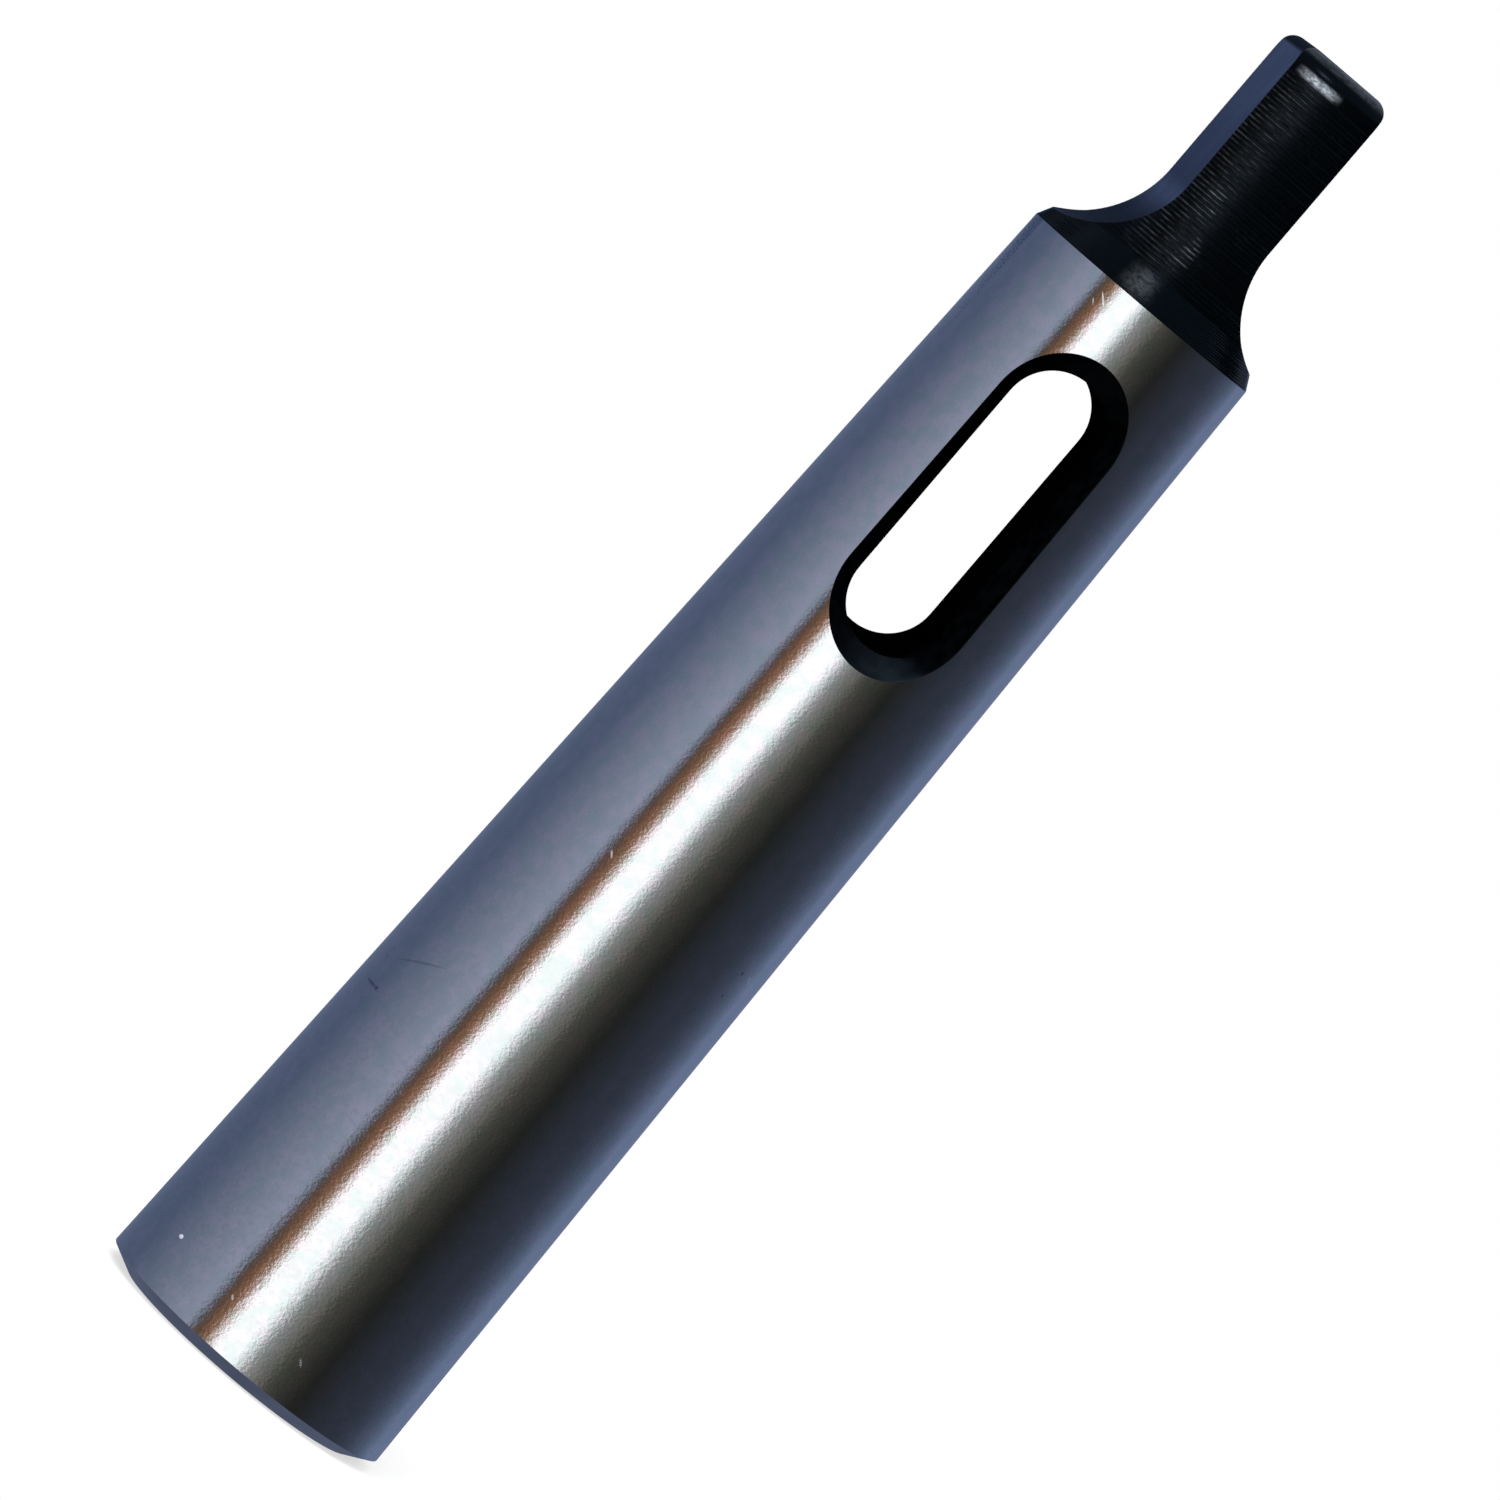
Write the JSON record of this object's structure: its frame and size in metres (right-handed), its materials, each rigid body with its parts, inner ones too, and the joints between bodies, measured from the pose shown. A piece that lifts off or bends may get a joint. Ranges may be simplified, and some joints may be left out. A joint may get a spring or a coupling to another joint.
{
  "type": "morse taper sleeve",
  "caption": "Reducing drill sleeve: ground outside taper, tapered socket in the large end, flat drive tang and a through drift slot with flared rims.",
  "frame": {"origin": "centre of the large end face, which the sleeve stands on", "axes": "+Z along the taper's axis from the large end to the tang; the drift slot goes through along Y; the tang's flats face +X and -X"},
  "size_m": [0.0186, 0.0186, 0.092],
  "materials": {
    "steel": "ground outside taper, bright; tang, shoulder, slot and bore black oxide"
  },
  "bodies": {
    "root": {"sleeve": "steel"}
  },
  "joints": []
}
